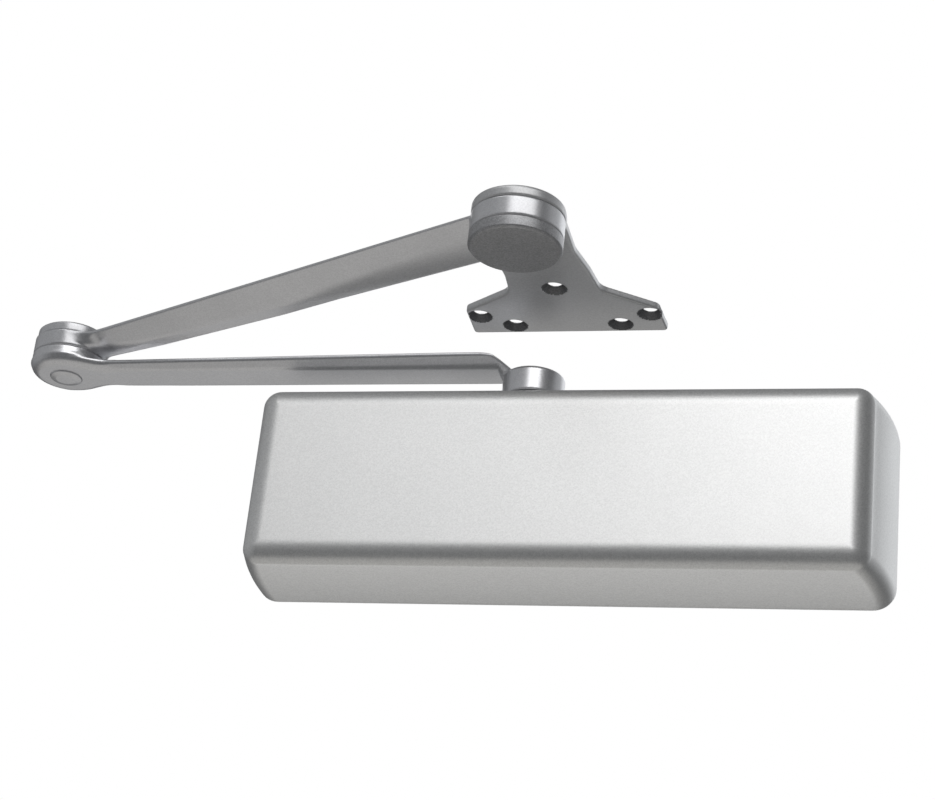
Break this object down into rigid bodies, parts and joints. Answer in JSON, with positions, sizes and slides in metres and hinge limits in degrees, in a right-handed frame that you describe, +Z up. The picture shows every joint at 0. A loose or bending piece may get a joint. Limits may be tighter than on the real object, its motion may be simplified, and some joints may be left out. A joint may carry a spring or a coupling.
{
  "type": "door closer",
  "caption": "Surface-mounted hydraulic door closer: flared full cover over a rack-and-pinion body, parallel arm with elbow, and a countersunk soffit bracket.",
  "frame": {"origin": "centre of the four door screw holes, on the door face", "axes": "+Z up along the pinion axis, +X to the right along the cover, +Y into the door"},
  "size_m": [0.4466, 0.1665, 0.1381],
  "materials": {
    "cover_paint": "satin aluminium paint",
    "arm_paint": "satin grey metallic paint",
    "cap_metal": "fine brushed grey metallic paint",
    "body_casting": "painted casting",
    "machined_steel": "machined",
    "dark_steel": "black oxide",
    "spring_steel": "oiled spring wire",
    "bronze": "plain bearing bronze",
    "valve_brass": "turned",
    "seal_rubber": "matte"
  },
  "bodies": {
    "closer": {"closer_body": "body_casting", "left_plug": "dark_steel", "left_plug_seal": "seal_rubber", "spring_cap": "dark_steel", "spring_cap_seal": "seal_rubber", "adjuster_seal": "seal_rubber", "upper_bearing": "machined_steel", "lower_bearing": "machined_steel", "shaft_seal": "seal_rubber", "bearing_nut": "dark_steel", "lower_plug": "dark_steel", "lower_plug_seal": "seal_rubber", "valve_seals": "seal_rubber", "cover_clips": "spring_steel", "clip_screws": "dark_steel"},
    "cover": {"cover": "cover_paint"},
    "arm": {"pinion": "machined_steel", "main_arm": "arm_paint", "arm_washer": "machined_steel", "arm_screw": "dark_steel", "elbow_pin": "arm_paint", "elbow_washer": "machined_steel", "elbow_disc": "arm_paint"},
    "forearm": {"forearm": "arm_paint", "elbow_bushing": "bronze", "knuckle_bushing": "bronze"},
    "bracket": {"soffit_bracket": "arm_paint", "knuckle_pin": "machined_steel", "knuckle_washers": "machined_steel", "knuckle_cap": "cap_metal"},
    "piston": {"piston": "machined_steel", "piston_rings": "dark_steel", "check_ball_retainer": "machined_steel"},
    "check_ball": {"check_ball": "machined_steel"},
    "spring_seat": {"spring_seat": "machined_steel", "main_spring": "spring_steel"},
    "adjuster": {"spring_adjuster": "machined_steel", "adjuster_clip": "spring_steel"},
    "sweep_valve": {"sweep_valve": "valve_brass"},
    "latch_valve": {"latch_valve": "valve_brass"},
    "backcheck_valve": {"backcheck_valve": "valve_brass"}
  },
  "joints": [
    {"name": "pinion_swing", "type": "hinge", "parent": "closer", "child": "arm", "pos_m": [-0.019, -0.026, 0], "axis": [0, 0, 1], "range_deg": [0, 170], "stiffness_Nm_per_rad": 6, "springref_deg": -68.75},
    {"name": "elbow", "type": "hinge", "parent": "arm", "child": "forearm", "pos_m": [-0.2685, -0.026, 0.08], "axis": [0, 0, 1], "range_deg": [-150, 10]},
    {"name": "bracket_swivel", "type": "hinge", "parent": "forearm", "child": "bracket", "pos_m": [-0.00556, -0.14472, 0.08], "axis": [0, 0, 1], "range_deg": [-60, 150]},
    {"name": "piston_travel", "type": "slide", "parent": "closer", "child": "piston", "axis": [1, 0, 0], "range_m": [0, 0.0267], "deforming": ["main_spring"]},
    {"name": "check_ball_lift", "type": "slide", "parent": "piston", "child": "check_ball", "axis": [-1, 0, 0], "range_m": [0, 0.0008]},
    {"name": "spring_adjust", "type": "hinge", "parent": "closer", "child": "adjuster", "pos_m": [0.1, -0.026, 0], "axis": [1, 0, 0], "range_deg": [-360, 720]},
    {"name": "spring_seat_travel", "type": "slide", "parent": "closer", "child": "spring_seat", "axis": [1, 0, 0], "range_m": [-0.005, 0.0025]},
    {"name": "sweep_adjust", "type": "hinge", "parent": "closer", "child": "sweep_valve", "pos_m": [-0.066, -0.03, -0.029], "axis": [0, 1, 0], "range_deg": [-90, 270]},
    {"name": "latch_adjust", "type": "hinge", "parent": "closer", "child": "latch_valve", "pos_m": [-0.05, -0.03, -0.029], "axis": [0, 1, 0], "range_deg": [-90, 270]},
    {"name": "backcheck_adjust", "type": "hinge", "parent": "closer", "child": "backcheck_valve", "pos_m": [0.016, -0.03, -0.029], "axis": [0, 1, 0], "range_deg": [-90, 270]},
    {"name": "cover_pull", "type": "slide", "parent": "closer", "child": "cover", "axis": [0, -1, 0], "range_m": [0, 0.06]}
  ],
  "couplings": [
    {"joint": "piston_travel", "follows": "pinion_swing", "m_per_rad": 0.009},
    {"joint": "spring_adjust", "follows": "spring_seat_travel", "rad_per_m": -2513.3}
  ]
}
